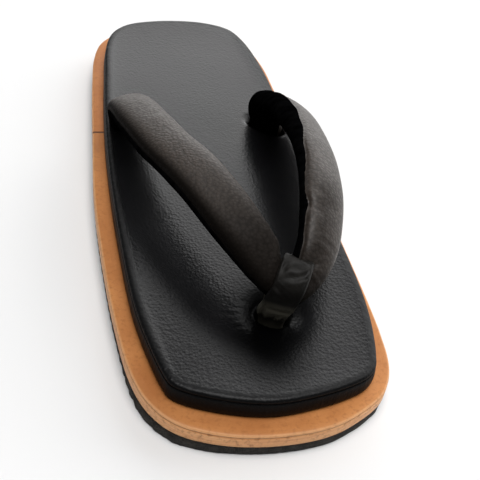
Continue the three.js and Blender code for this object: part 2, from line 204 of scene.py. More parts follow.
# Creases of the strap: row, angle round the section, turn from straight across, length, width, depth
STRAP_CREASES = [
    (5.3, 60, 15, 12, 2.2, 0.12),
    (8.6, 48, 30, 10, 1.1, 0.16),
    (9.05, 36, 38, 11, 0.9, 0.26),
    (9.3, 58, 30, 9, 0.9, 0.2),
    (9.5, 30, 42, 10, 0.8, 0.3),
    (9.72, 56, 30, 11, 0.9, 0.28),
    (10.0, 40, 34, 10, 0.8, 0.34),
    (9.95, 118, 10, 12, 1.3, 0.26),
    (10.35, 66, 14, 13, 0.9, 0.36),
    (10.5, 130, 5, 11, 1.1, 0.3),
    (11.8, 70, -8, 14, 0.9, 0.4),
    (12.1, 110, -4, 13, 0.8, 0.3),
    (12.35, 80, 6, 13, 0.7, 0.3),
    (12.6, 118, 10, 12, 0.7, 0.24),
    (12.85, 66, -4, 13, 0.7, 0.26),
    (13.15, 104, -10, 12, 0.8, 0.2),
    (13.45, 62, 8, 10, 0.8, 0.18),
    (14.25, 34, -14, 15, 2.6, 0.8),
    (14.5, 62, -32, 16, 2.2, 0.3),
    (16.6, 70, 30, 12, 2.4, 0.12),
    (19.6, 80, 6, 18, 1.7, 0.3),
    (20.3, 110, -6, 15, 1.4, 0.34),
    (20.9, 60, 4, 14, 1.2, 0.3),
]
LUMP_HEIGHT = 0.35 * MM
LUMP_SPAN = 17 * MM
ROOT_PLEATS = 9
ROOT_PLEAT_DEPTH = 0.12 * MM
ROOT_PLEAT_TOP = 28 * MM
# Painted shade on the strap, where shade falls: the leather is coloured darker along the outer arm's
# low edge, in a band along the inner arm, and toward the joint
PAINTED_EDGE_SHADE = (2.4 * MM, 8.4 * MM)
PAINTED_EDGE_DARKNESS = 0.97
PAINTED_BAND_SHADE = {"rows": (12.2, 13, 14.6, 15.6), "angle": 74, "width": 30, "depth": 0.5}
PAINTED_JOINT_SHADE = {"rows": (6.8, 9.6, 11.6, 13.6), "depth": 0.8}

# The thong's loop, up its front leg and down its rear one, in its own leaning plane: place toward
# the heel from the middle of the strap's joint, height, width and thickness
THONG_LOOP = [
    (-2.1, 12, 9.6, 3.9),
    (-2.1, 17, 9.6, 3.9),
    (-2.4, 22.6, 11.2, 4.6),
    (-5.2, 26.6, 11.2, 3.9),
    (-7.7, 33, 11.5, 3.2),
    (-6, 38.6, 11.5, 3.2),
    (-1.6, 42.3, 11.7, 3.1),
    (3.2, 42.8, 11.7, 3.1),
    (7.3, 39.8, 11.5, 3.2),
    (7.5, 34.6, 11.5, 3.2),
    (4.9, 28.6, 10.8, 3.5),
    (1.9, 23.4, 9.9, 3.8),
    (1.8, 18, 9.6, 3.9),
    (1.8, 12, 9.6, 3.9),
]
THONG_FREE_ROWS = slice(3, 11)
# The plane of the loop: its top and foot, the heading and lean of its width, and its core, which is
# the middle of the strap that it holds
THONG_TOP = Vector((14.2, -84.6, 42)) * MM
THONG_FOOT = Vector((9.2, -85, 24)) * MM
THONG_HEADING = -26
THONG_LEAN = -5
THONG_CORE = (0.1, 35.2)
THONG_SQUARENESS = 3.0
THONG_CLEARANCE = 0.35 * MM
THONG_RIM_HEIGHT = 0.35 * MM
THONG_RIM_PLACE = 0.8
THONG_RIM_BREADTH = 0.1
THONG_LUMP_HEIGHT = 0.3 * MM
THONG_LUMP_SPAN = 6 * MM
# Painted light: up to the first height the thong's legs are coloured olive, gone by the second
THONG_PAINTED_LIGHT = (30 * MM, 34.5 * MM)
# Painted light and shade: below the first height the thong is coloured darker, above the second lighter
THONG_LIT = (37.5 * MM, 43 * MM)
THONG_PAINTED_LIGHT_COLOUR = (0.06, 0.056, 0.044)
# How the loop draws the strap in: full to none, across the loop and away from it
HOLD_WIDTH = (4.6 * MM, 9.5 * MM)
HOLD_REACH = (5 * MM, 9 * MM)
# Creases of the thong: share of the loop, place across it from -1 to 1, turn, length, width, depth
THONG_CREASES = [
    (0.16, 0.0, 80, 16, 0.8, 0.5),
    (0.18, 0.5, 70, 12, 0.7, 0.45),
    (0.2, -0.5, 100, 12, 0.7, 0.45),
    (0.27, 0.2, 25, 9, 0.8, 0.35),
    (0.36, -0.3, -20, 9, 1.0, 0.35),
    (0.45, 0.3, 34, 11, 1.0, 0.4),
    (0.5, -0.35, 60, 10, 1.1, 0.42),
    (0.55, 0.1, -30, 9, 0.9, 0.35),
    (0.63, 0.4, 20, 9, 0.9, 0.3),
    (0.78, 0.0, 80, 12, 0.9, 0.4),
]

# Hollow pressed into the footbed round the thong, and the mouths of its holes
DIMPLE_RADIUS = 15 * MM
DIMPLE_DEPTH = 2.0 * MM
MOUTH_DEPTH = 2.6 * MM
MOUTH_SPAN = (-0.4 * MM, 2.6 * MM)
MOUTH_ROW = 2
THONG_MOUTH_ROWS = (2, 11)
THONG_MOUTH = (5.0 * MM, 4.1 * MM)
BROW_WIDTH = 1.2 * MM
# Painted shade before the thong: a dark unglossy patch for the joint's shadow and dark reflection
PAINTED_SHADE_MIDDLE = Vector((4.5, -93, 0)) * MM
PAINTED_SHADE_REACH = (4 * MM, 22 * MM)
PAINTED_SHADE_STRETCH = 0.6
PAINTED_SHADE_DARKNESS = 0.95
# Creases of the footbed: from, to, width and depth, in plan
FOOTBED_CREASES = [
    (-8, -81.2, 3.4, -83.2, 0.8, 0.1),
    (-12.5, -84.2, 2.4, -85, 0.7, 0.13),
    (-7, -87.4, 2.8, -86.8, 0.7, 0.1),
    (-9.5, -92, 3.4, -88.6, 0.9, 0.07),
    (-3, -77.4, 5.2, -81, 1.0, 0.06),
]

# The photograph's camera, in the frame: where it stands, its view and the lean that it gives the shoe
CAMERA_PLACE = Vector((-68.35, -290.95, 256.66)) * MM
CAMERA_AIM = Vector((5.5, -38.8, 14)) * MM
CAMERA_ROLL = 9.6
CAMERA_LENS = 65.2
CAMERA_SENSOR = 36.0

# Light: the dim air of the room, and a bright backdrop behind the heel, full up to the first height
# and gone at the second, from one heading to another round the middle of its width
AIR_LIGHT = 0.05
BACKDROP_LIGHT = 2.2
BACKDROP_HEIGHTS = (0.6, 0.88)
BACKDROP_AZIMUTH = 44
BACKDROP_SPREAD = (0.42, 0.72)
# Wide soft lights: azimuth from the heel's side toward the inner side, elevation, width and strength
LIGHTS = [("window", 80, 50, 30, 0.2), ("ceiling", 180, 81, 40, 2.5)]

# Relief of the finishes: cells or waves in a metre, and height
Relief = namedtuple("Relief", ("count", "height"))
RUBBER_PORES = Relief(1500, 0.25 * MM)
RUBBER_GRAIN = Relief(2600, 0.18 * MM)
RUBBER_DENTS = Relief(420, 0.3 * MM)
TAN_STREAKS = Relief(34, 0.1 * MM)
TAN_FIBRES = Relief(900, 0.05 * MM)
TAN_PORES = Relief(1500, 0.02 * MM)
BED_TUCKS = Relief(330, 0.5 * MM)
BED_PEBBLES = Relief(900, 0.045 * MM)
BED_GRAIN = Relief(650, 0.055 * MM)
BED_WAVES = Relief(70, 0.04 * MM)
STRAP_WRINKLES = Relief(210, 0.1 * MM)
STRAP_PEBBLES = 760
STRAP_FINE_PEBBLES = 1700
STRAP_FINE_SHARE = 0.3
NAP_PILE = Relief(3200, 0.3 * MM)
NAP_BRUSHED = Relief(150, 0.25 * MM)
THONG_CRINKLES = Relief(330, 0.14 * MM)
THONG_PORES = Relief(1500, 0.02 * MM)

# Patches of colour: waves in a metre
RUBBER_PATCHES = 260
TAN_CLOUDS = 46
TAN_FLECKS = 520
BED_PATCHES = 22
STRAP_CLOUDS = 70

# Least and most roughness of a finish, and what its dull places add
TAN_ROUGHNESS = (0.42, 0.6)
BED_ROUGHNESS = (0.22, 0.27)
BED_DULLER = 0.25
STRAP_ROUGHNESS = (0.42, 0.56)
STRAP_DULLER = 0.3
THONG_ROUGHNESS = (0.38, 0.55)

# Share of the warmer tan in the heel board
HEEL_WARMTH = 0.16
WARM_TAN = (0.36, 0.09, 0.03)
# How much closer the streaks lie up the side of a board than along it
STREAK_SQUEEZE = 55.0
SHEEN_TINT = (0.85, 0.8, 0.74, 1)
FLOOR_COLOUR = (0.86, 0.86, 0.86)
FLOOR_DROP = 0.05 * MM
FLOOR_SIDES = 96


def length_property(name, description, default):
    """A size in metres that a user may change."""
    return FloatProperty(
        name=name, description=description, default=default, subtype="DISTANCE", unit="LENGTH", precision=6)


def colour_property(name, description, default):
    """A linear colour that a user may change."""
    return FloatVectorProperty(
        name=name, description=description, default=default, size=3, subtype="COLOR", min=0, max=1)


class SandalSizes(bpy.types.PropertyGroup):
    """Sizes that the pieces are made from."""

    grain: length_property("Grain", "Height of the strap leather's pebbled grain", 0.16 * MM)
    dish: length_property("Dish", "How far the footbed sinks between its edges", FOOTBED_DISH)
    dimple: length_property("Dimple", "Depth of the hollow round the thong", DIMPLE_DEPTH)
    lumps: length_property("Lumps", "Unevenness of the strap's wadding", LUMP_HEIGHT)
    floor: length_property("Floor", "Radius of the floor", 9.0)


class SandalColours(bpy.types.PropertyGroup):
    """Colours of the finishes."""

    rubber: colour_property("Rubber", "Sponge rubber of the outsole", (0.026, 0.024, 0.021))
    tan_top: colour_property("Tan, top", "Waxed top of the leather boards", (0.53, 0.205, 0.06))
    tan_side: colour_property("Tan, side", "Burnished side of the leather boards", (0.78, 0.4, 0.175))
    footbed: colour_property("Footbed", "Black leather of the footbed", (0.0042, 0.0042, 0.0047))
    strap: colour_property("Strap", "Brown-grey leather of the strap", (0.041, 0.031, 0.0245))
    lining: colour_property("Lining", "Napped lining of the strap", (0.0012, 0.0012, 0.0013))
    thong: colour_property("Thong", "Smooth leather of the toe thong", (0.006, 0.0054, 0.0046))


# Curves

def catmull(values, place):
    """Smooth value at a place counted in rows."""
    last = len(values) - 1
    row = min(int(place), last - 1)
    share = place - row
    before = values[row - 1] if row > 0 else values[0] * 2 - values[1]
    after = values[row + 2] if row + 2 <= last else values[last] * 2 - values[last - 1]
    low, high = values[row], values[row + 1]
    rise_low, rise_high = (high - before) * 0.5, (after - low) * 0.5
    square, cube = share * share, share ** 3
    return (low + rise_low * share + (high * 3 - low * 3 - rise_low * 2 - rise_high) * square
            + (low * 2 - high * 2 + rise_low + rise_high) * cube)


def spaced(points, count, closed=False):
    """Evenly spaced points on a fine line of points."""
    line = points + [points[0]] if closed else points
    reached = [0.0]
    for a, b in zip(line, line[1:]):
        reached.append(reached[-1] + (b - a).length)
    steps = count if closed else count - 1
    found, at = [], 0
    for i in range(count):
        goal = reached[-1] * i / steps
        while at < len(reached) - 2 and reached[at + 1] < goal:
            at += 1
        span = reached[at + 1] - reached[at]
        found.append(line[at].lerp(line[at + 1], (goal - reached[at]) / span if span else 0))
    return found


def frame_edge(node, height):
    """Fine smooth outline of a frame node at the height of one of its rings, anticlockwise from the toe."""
    bm = bmesh.new()
    bm.from_mesh(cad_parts[node].data)
    bmesh.ops.remove_doubles(bm, verts=bm.verts, dist=LEVEL_SLACK)
    level = {v for v in bm.verts if abs(v.co.z - height) < LEVEL_SLACK}
    start = min(level, key=lambda v: v.co.y)
    ring = [start]
    while True:
        beside = [e.other_vert(ring[-1]) for e in ring[-1].link_edges]
        onward = [v for v in beside if v in level and v not in ring[-2:]]
        if len(ring) == 1:
            onward = [max(onward, key=lambda v: v.co.x)]
        if not onward or onward[0] is start:
            break
        ring.append(onward[0])
    corners = [Vector((v.co.x, v.co.y, 0)) for v in ring]
    bm.free()
    looped = corners[-1:] + corners + corners[:2]
    return [catmull(looped[i:i + 4], 1 + step / CURVE_STEPS)
            for i in range(len(corners)) for step in range(CURVE_STEPS)]


def inset_ring(loop, distance, height):
    """The loop moved inward in plan and set at a height."""
    count = len(loop)
    ring = []
    for i, point in enumerate(loop):
        along = (loop[(i + 1) % count] - loop[i - 1]).normalized()
        ring.append(Vector((point.x - along.y * distance, point.y + along.x * distance, height)))
    return ring


def smooth(low, high, value):
    """Smooth step from 0 at the low value to 1 at the high one."""
    share = min(max((value - low) / (high - low), 0.0), 1.0)
    return share * share * (3 - 2 * share)


def crease(aside, ahead, length, width, depth):
    """Soft trough with a low ridge on each side of it, fading at its ends."""
    if abs(ahead) >= length / 2:
        return 0.0
    side = abs(aside) / width
    ridge = RIDGE_HEIGHT * math.exp(-((side - RIDGE_PLACE) ** 2) / RIDGE_BREADTH)
    return depth * smooth(*CREASE_FADE, abs(ahead) / length) * (ridge - math.exp(-side * side))


def turned_crease(onward, sideways, turn, length, width, depth):
    """A crease turned by some degrees from straight across, its sizes in millimetres."""
    sine, cosine = math.sin(math.radians(turn)), math.cos(math.radians(turn))
    return crease(
        onward * cosine - sideways * sine, onward * sine + sideways * cosine,
        length * MM, width * MM, depth * MM)


# Meshes

def new_skin(*marks):
    """An empty mesh whose vertices can carry their place round a ring and the named marks."""
    bm = bmesh.new()
    bm.verts.layers.int.new("place")
    for name in marks:
        bm.verts.layers.float.new(name)
    return bm


def skin(bm, rings, marks=None, closed_end=True):
    """Skin through a row of equal rings. A ring's marks each have one value, or a list by place."""
    place = bm.verts.layers.int["place"]
    verts = bmesh.ops.create_circle(bm, segments=len(rings[0]), radius=1, cap_ends=True)["verts"]
    for i, vert in enumerate(verts):
        vert[place] = i
    edges = bm.edges[:]
    for ring, ring_marks in zip(rings, marks or [{}] * len(rings)):
        if ring is not rings[0]:
            made = bmesh.ops.extrude_edge_only(bm, edges=edges)["geom"]
            verts = [item for item in made if isinstance(item, bmesh.types.BMVert)]
            edges = [item for item in made if isinstance(item, bmesh.types.BMEdge) and item.is_boundary]
        values = [(bm.verts.layers.float[name], value) for name, value in ring_marks.items()]
        for vert in verts:
            vert.co = ring[vert[place]]
            for mark, value in values:
                vert[mark] = value[vert[place]] if isinstance(value, list) else value
    if closed_end:
        bmesh.ops.edgeloop_fill(bm, edges=edges)


def new_object(name, data):
    """A new object in the scene."""
    thing = bpy.data.objects.new(name, data)
    bpy.context.scene.collection.objects.link(thing)
    return thing


def mesh_object(name, bm, finish):
    """A new mesh object in the scene, with its finish."""
    mesh = bpy.data.meshes.new(name)
    bm.to_mesh(mesh)
    bm.free()
    mesh.materials.append(finish)
    return new_object(name, mesh)


def finish_piece(name, bm, finish, node=None):
    """A skin becomes a smooth named piece that rides on the sandal and stands for a node of the frame."""
    bmesh.ops.remove_doubles(bm, verts=bm.verts, dist=SAME_POINT)
    bmesh.ops.dissolve_degenerate(bm, edges=bm.edges, dist=SAME_POINT / 2)
    bmesh.ops.recalc_face_normals(bm, faces=bm.faces)
    piece = mesh_object(name, bm, finish)
    piece.data.shade_smooth()
    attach(piece, BODY)
    if node:
        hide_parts(node)
    return piece


def girths(side):
    """Distance along a side's profile at each of its rows, in metres."""
    reached = [0.0]
    for (inset_a, rise_a), (inset_b, rise_b) in zip(side, side[1:]):
        reached.append(reached[-1] + math.hypot(inset_b - inset_a, rise_b - rise_a) * MM)
    return reached


def layer(side, edge, base, closed_end=True, marks=()):
    """Skin of one layer of the sole, each vertex marked with its distance along the profile."""
    bm = new_skin("girth", *marks)
    rings = [inset_ring(edge, inset * MM, base + rise * MM) for inset, rise in side]
    skin(bm, rings, [{"girth": g} for g in girths(side)], closed_end=closed_end)
    return bm


# Materials

class Nodes:
    """Makes and joins the nodes of one tree."""

    def __init__(self, tree):
        self.tree = tree
        self.place = self.add("TexCoord").outputs[self.PLACE]

    def add(self, kind, inputs=None, **settings):
        """A node with its settings; inputs holds numbers, colours or other nodes' outputs."""
        node = self.tree.nodes.new("ShaderNode" + kind)
        for name, value in settings.items():
            setattr(node, name, value)
        for key, value in (inputs or {}).items():
            if isinstance(value, bpy.types.NodeSocket):
                self.tree.links.new(value, node.inputs[key])
            else:
                node.inputs[key].default_value = value
        return node

    def maths(self, operation, first, second=0.0):
        """A sum, product or other result of one or two values."""
        return self.add("Math", {0: first, 1: second}, operation=operation).outputs[0]

    def spread(self, value, low, high, to_low=0.0, to_high=1.0, **settings):
        """The value's range from low to high, stretched to another range."""
        return self.add("MapRange", {
            "Value": value, "From Min": low, "From Max": high,
            "To Min": to_low, "To Max": to_high}, **settings).outputs[0]


class Finish(Nodes):
    """One procedural material, made node by node on a Principled surface."""

    PLACE = "Object"

    def __init__(self, name, color, roughness, **surface):
        self.material = bpy.data.materials.new(name)
        self.material.use_nodes = True
        super().__init__(self.material.node_tree)
        self.surface = self.tree.nodes["Principled BSDF"]
        self.surface.inputs["Base Color"].default_value = (*color, 1)
        self.surface.inputs["Roughness"].default_value = roughness
        for socket, value in surface.items():
            self.surface.inputs[socket.replace("_", " ")].default_value = value

    def noise(self, scale, detail=2.0, roughness=0.5, stretch=(1, 1, 1), vector=None):
        """Noise with about that many waves in a metre along each axis, times its stretch."""
        mapped = self.add("Mapping", {"Vector": vector or self.place, "Scale": stretch}).outputs[0]
        return self.add("TexNoise", {
            "Vector": mapped, "Scale": scale, "Detail": detail, "Roughness": roughness}).outputs["Fac"]

    def cells(self, scale):
        """Pebble cells, about that many in a metre: distance from the middle of each."""
        return self.add("TexVoronoi", {"Vector": self.place, "Scale": scale}).outputs["Distance"]

    def blend(self, share, first, second):
        """Two colours mixed by a share."""
        node = self.add("Mix", {0: share}, data_type="RGBA")
        for socket, value in ((node.inputs[6], first), (node.inputs[7], second)):
            if isinstance(value, bpy.types.NodeSocket):
                self.tree.links.new(value, socket)
            else:
                socket.default_value = (*value, 1)
        return node.outputs[2]

    def graded(self, value, low, high, first, second):
        """The first colour where a value is low and the second where it is high."""
        return self.blend(self.spread(value, low, high), first, second)

    def near(self, value, middle, close, far, strength):
        """The strength where a value is close to the middle one, and nothing far from it."""
        apart = self.maths("ABSOLUTE", self.maths("SUBTRACT", value, middle))
        return self.spread(apart, close, far, strength, 0.0)

    def mark(self, name):
        """A float attribute of the piece's own vertices."""
        return self.add("Attribute", attribute_name=name).outputs["Fac"]

    def joined(self, x, y, z=0.0):
        """A vector from three values."""
        return self.add("CombineXYZ", {0: x, 1: y, 2: z}).outputs[0]

    def set(self, socket, value):
        """Joins a value to one of the surface's sockets."""
        self.tree.links.new(value, self.surface.inputs[socket])

    def grain(self, relief, detail=3, roughness=0.5):
        """A layer of bump from noise: its value and height."""
        return self.noise(relief.count, detail, roughness), relief.height

    def pebbles(self, relief):
        """A layer of bump from pebble cells: its value and height."""
        return self.cells(relief.count), relief.height

    def bump(self, layers):
        """Stacked bumps, each a height value and its real height in metres."""
        below = None
        for height, depth in layers:
            inputs = {"Height": height, "Distance": depth, "Strength": 1.0}
            if below:
                inputs["Normal"] = below
            below = self.add("Bump", inputs).outputs[0]
        self.set("Normal", below)


def tint(color, factors):
    """The colour with each channel times its own factor."""
    return tuple(min(channel * factor, 1.0) for channel, factor in zip(color, factors))


def shade(color, factor):
    """The colour made lighter or darker."""
    return tint(color, (factor, factor, factor))


def rubber_finish(color):
    """Cut sponge rubber: open pores, a torn fine grain and dusty flats."""
    finish = Finish("sponge_rubber", color, 0.92, Specular_IOR_Level=0.3)
    pores = finish.spread(finish.cells(RUBBER_PORES.count), 0.1, 0.5)
    patches = finish.noise(RUBBER_PATCHES, 3)
    dusty = finish.graded(patches, 0.35, 0.7, shade(color, 0.75), shade(color, 1.7))
    finish.set("Base Color", finish.blend(pores, shade(color, 0.45), dusty))
    finish.bump([(pores, RUBBER_PORES.height), finish.grain(RUBBER_GRAIN), finish.grain(RUBBER_DENTS, 2)])
    return finish.material


def tan_finish(name, top, side, warmth):
    """Waxed board leather: mottled top, lighter burnished side with lengthwise streaks, dark crease."""
    finish = Finish(name, top, 0.5, Specular_IOR_Level=0.3)
    girth = finish.mark("girth")
    rows = girths(WELT_SIDE)
    groove, bevel, last = (rows[7] + rows[8]) / 2, rows[11], rows[-1]
    x, y, _ = finish.add("SeparateXYZ", {0: finish.place}).outputs
    streaked = finish.joined(x, y, finish.maths("MULTIPLY", girth, STREAK_SQUEEZE))
    streaks = finish.noise(TAN_STREAKS.count, 4, 0.6, vector=streaked)
    clouds = finish.noise(TAN_CLOUDS, 4, 0.62)
    flecks = finish.noise(TAN_FLECKS, 3, 0.65)
    top_tone = finish.graded(clouds, 0.36, 0.66, shade(top, 0.86), tint(top, (1.1, 1.2, 1.26)))
    side_tone = finish.graded(
        streaks, 0.34, 0.68, tint(side, (0.88, 0.76, 0.66)), tint(side, (1.1, 1.2, 1.3)))
    tone = finish.graded(girth, rows[9], rows[13], side_tone, top_tone)
    tone = finish.graded(flecks, 0.22, 0.5, shade(top, 0.7), tone)
    # Lines along the board: place in the profile, full and faded half width, strength and colour
    for middle, close, far, strength, line_color in (
            # Pale bevel line: partly paler leather, partly a painted highlight
            (bevel, 0.3 * MM, 0.9 * MM, 0.25, tint(side, (1.2, 1.4, 1.7))),
            (last, 0.0, 4 * MM, 0.2, tint(top, (0.9, 0.66, 0.5))),
            (groove, 0.15 * MM, 0.5 * MM, 0.45, shade(top, 0.25)),
            (0.0, 0.0, 0.9 * MM, 0.7, shade(top, 0.25)),
            # Painted shade from the footbed: darkens the board's top a little
            (last + 1.6 * MM, 0.0, 1.8 * MM, 0.45, shade(top, 0.3))):
        tone = finish.blend(finish.near(girth, middle, close, far, strength), tone, line_color)
    at_joint = finish.near(y, WELT_JOINT_Y, 0.3 * MM, 0.9 * MM, 0.93)
    tone = finish.blend(at_joint, tone, shade(top, 0.06))
    finish.set("Base Color", finish.blend(warmth, tone, WARM_TAN))
    finish.set("Roughness", finish.spread(streaks, 0.3, 0.7, *TAN_ROUGHNESS))
    finish.bump([
        (streaks, TAN_STREAKS.height), finish.grain(TAN_FIBRES, 3, 0.6), finish.pebbles(TAN_PORES)])
    return finish.material


def footbed_finish(color):
    """Black satin leather: tight grain, faint patches, a duller tucked side and painted shade before the
    thong and in the holes' mouths.
    """
    finish = Finish("black_leather", color, 0.4)
    rows = girths(FOOTBED_SIDE)
    on_top = finish.spread(finish.mark("girth"), rows[12], rows[17])
    on_side = finish.spread(on_top, 0.0, 1.0, 1.0, 0.0)
    # The dark mark is painted shade, before the thong and in the holes' mouths
    painted_shade = finish.mark("dark")
    patches = finish.noise(BED_PATCHES, 3, 0.55)
    tone = finish.graded(patches, 0.3, 0.72, shade(color, 0.8), shade(color, 1.35))
    # The side is coloured darker than the top: painted shade
    tone = finish.blend(on_top, shade(color, 0.4), tone)
    finish.set("Base Color", finish.blend(painted_shade, tone, shade(color, 0.15)))
    uneven = finish.spread(patches, 0.3, 0.7, *BED_ROUGHNESS)
    finish.set("Roughness", finish.maths("ADD", uneven, finish.maths("MULTIPLY", on_side, BED_DULLER)))
    gloss = finish.spread(on_top, 0.0, 1.0, 0.07, 0.5)
    undulled = finish.spread(painted_shade, 0.0, 1.0, 1.0, 0.03)
    finish.set("Specular IOR Level", finish.maths("MULTIPLY", gloss, undulled))
    tucks = finish.noise(BED_TUCKS.count, 3, 0.6, stretch=(1, 1, 0.12))
    finish.bump([
        (finish.maths("MULTIPLY", tucks, on_side), BED_TUCKS.height), finish.pebbles(BED_PEBBLES),
        finish.grain(BED_GRAIN, 3, 0.6), finish.grain(BED_WAVES, 2)])
    return finish.material


def strap_finish(color, grain):
    """Soft brown-grey leather: pebbled grain, fine cross wrinkles, a faint coat and painted shade at its
    low edge, in a band and toward the joint.
    """
    finish = Finish(
        "brown_leather", color, 0.5, Sheen_Roughness=0.3, Sheen_Tint=SHEEN_TINT, Coat_Roughness=0.32)
    # The dark mark is painted shade: colour toward black, less gloss, coat and sheen
    dark = finish.mark("dark")
    pebbles = finish.cells(STRAP_PEBBLES)
    stretched = finish.maths("MULTIPLY", finish.mark("along"), 5.0)
    wrinkles = finish.noise(
        STRAP_WRINKLES.count, 3, 0.6, vector=finish.joined(stretched, finish.mark("girth")))
    clouds = finish.noise(STRAP_CLOUDS, 3, 0.6)
    tone = finish.graded(clouds, 0.32, 0.7, shade(color, 0.92), shade(color, 1.1))
    tone = finish.blend(finish.spread(pebbles, 0.35, 0.8, 0.0, 0.6), tone, shade(color, 0.4))
    finish.set("Base Color", finish.blend(dark, tone, shade(color, 0.08)))
    uneven = finish.spread(pebbles, 0.1, 0.7, *STRAP_ROUGHNESS)
    finish.set("Roughness", finish.maths("ADD", uneven, finish.maths("MULTIPLY", dark, STRAP_DULLER)))
    finish.set("Specular IOR Level", finish.spread(dark, 0.0, 1.0, 0.36, 0.03))
    finish.set("Coat Weight", finish.spread(dark, 0.0, 0.8, 0.13, 0.0))
    finish.set("Sheen Weight", finish.spread(dark, 0.0, 1.0, 0.06, 0.0))
    finish.bump([
        (wrinkles, STRAP_WRINKLES.height), (finish.maths("SUBTRACT", 1.0, pebbles), grain),
        (finish.cells(STRAP_FINE_PEBBLES), grain * STRAP_FINE_SHARE)])
    return finish.material


def lining_finish(color):
    """Black napped cloth: no gloss and a short uneven pile."""
    finish = Finish("lining_nap", color, 1.0, Specular_IOR_Level=0.0)
    brushed = finish.noise(NAP_BRUSHED.count, 3, 0.6, stretch=(1, 2.2, 1))
    finish.set("Base Color", finish.graded(brushed, 0.35, 0.7, shade(color, 0.5), shade(color, 2.5)))
    finish.bump([finish.grain(NAP_PILE, 3, 0.7), (brushed, NAP_BRUSHED.height)])
    return finish.material


def thong_finish(color):
    """Smooth black leather with shallow crinkles, glossier on top: its top painted light, the front below
    it painted shade, and its legs painted light in olive.
    """
    finish = Finish("thong_leather", color, 0.45, Specular_IOR_Level=0.3)
    crinkles = finish.noise(THONG_CRINKLES.count, 3, 0.62)
    height = finish.add("SeparateXYZ", {0: finish.place}).outputs[2]
    on_top = finish.spread(height, *THONG_LIT)
    # Painted light on the legs, painted shade on the front and a painted-lit top
    painted_light = finish.spread(height, *THONG_PAINTED_LIGHT, 1.0, 0.0)
    tone = finish.graded(crinkles, 0.3, 0.7, shade(color, 0.8), shade(color, 1.9))
    tone = finish.blend(on_top, shade(color, 0.4), tone)
    finish.set("Base Color", finish.blend(painted_light, tone, THONG_PAINTED_LIGHT_COLOUR))
    finish.set("Roughness", finish.spread(crinkles, 0.3, 0.7, *THONG_ROUGHNESS))
    gloss = finish.maths("MAXIMUM", on_top, finish.maths("MULTIPLY", painted_light, 0.6))
    finish.set("Specular IOR Level", finish.spread(gloss, 0.0, 1.0, 0.05, 0.13))
    finish.bump([(crinkles, THONG_CRINKLES.height), finish.pebbles(THONG_PORES)])
    return finish.material


# Outsole and welt

def tread_height(y):
    """Height of the tread's underside at a place along the sole."""
    spring_start = -TREAD_REACH + TOE_SPRING_LENGTH / 2
    if y < spring_start:
        return TOE_SPRING * min((spring_start - y) / TOE_SPRING_LENGTH, 1.0) ** 2
    if y > TREAD_REACH or y - RIB_PITCH <= spring_start - RIB_LAND:
        return 0.0
    into = (TREAD_REACH - y) % RIB_PITCH - RIB_LAND
    flank = min(into, RIB_PITCH - RIB_LAND - into) / RIB_FLANK
    return RIB_DEPTH * min(max(flank, 0.0), 1.0)


def cut_tread(bm):
    """The underside is cut across at each land's edges, then lifted to the tread's height."""
    steps = int(2 * TREAD_REACH / RIB_PITCH)
    for step in range(steps):
        land_end = TREAD_REACH - step * RIB_PITCH - RIB_LAND
        groove_end = TREAD_REACH - (step + 1) * RIB_PITCH
        for y in (land_end, land_end - RIB_FLANK, groove_end + RIB_FLANK, groove_end):
            low = [f for f in bm.faces if min(v.co.z for v in f.verts) < RIB_DEPTH]
            edges, verts = {e for f in low for e in f.edges}, {v for f in low for v in f.verts}
            bmesh.ops.bisect_plane(
                bm, geom=[*low, *edges, *verts], dist=LEVEL_SLACK, plane_co=(0, y, 0), plane_no=(0, 1, 0))
    for vert in bm.verts:
        vert.co.z = max(vert.co.z, tread_height(vert.co.y))


def fray(bm, edge):
    """The rubber's cut side is torn, and the ends of the ribs stand out past the board."""
    place = bm.verts.layers.int["place"]
    closer, lower = FINE_TEARS
    for vert in bm.verts:
        i = vert[place]
        along = (edge[(i + 1) % len(edge)] - edge[i - 1]).normalized()
        outward = Vector((along.y, -along.x, 0))
        low = 1 - smooth(*FRAY_HEIGHTS, vert.co.z)
        toward_toe = smooth(*FLARE_SPREAD, outward.dot(FLARE_HEADING))
        into = (TREAD_REACH - vert.co.y) % RIB_PITCH
        nub = math.sin(math.pi * min(into / RIB_LAND, 1.0))
        torn = noise.noise(vert.co / FRAY_SPAN) + lower * noise.noise(vert.co / FRAY_SPAN * closer)
        torn_share = SIDE_FRAY + (1 - SIDE_FRAY) * toward_toe
        reach = FLARE * toward_toe + (NUB_REACH * nub + FRAY_REACH * torn) * torn_share
        vert.co += outward * low * reach
        if vert.co.z < RIB_DEPTH:
            vert.co.z += FRAY_REACH * TORN_FOOT * max(torn, 0.0)


class SANDAL_OT_outsole(bpy.types.Operator):
    """Make the ribbed sponge rubber outsole"""

    bl_idname = "sandal.outsole"
    bl_label = "Outsole"

    def execute(self, context):
        colours = context.scene.sandal_colours
        edge = spaced(frame_edge("outsole", OUTSOLE_EDGE_Z), EDGE_POINTS, closed=True)
        bm = layer(OUTSOLE_SIDE, edge, 0.0)
        fray(bm, edge)
        cut_tread(bm)
        outsole = finish_piece(
            "outsole_rubber", bm, rubber_finish(colours.rubber), "outsole")
        outsole.data.set_sharp_from_angle(angle=math.radians(OUTSOLE_CRISP))
        return {"FINISHED"}


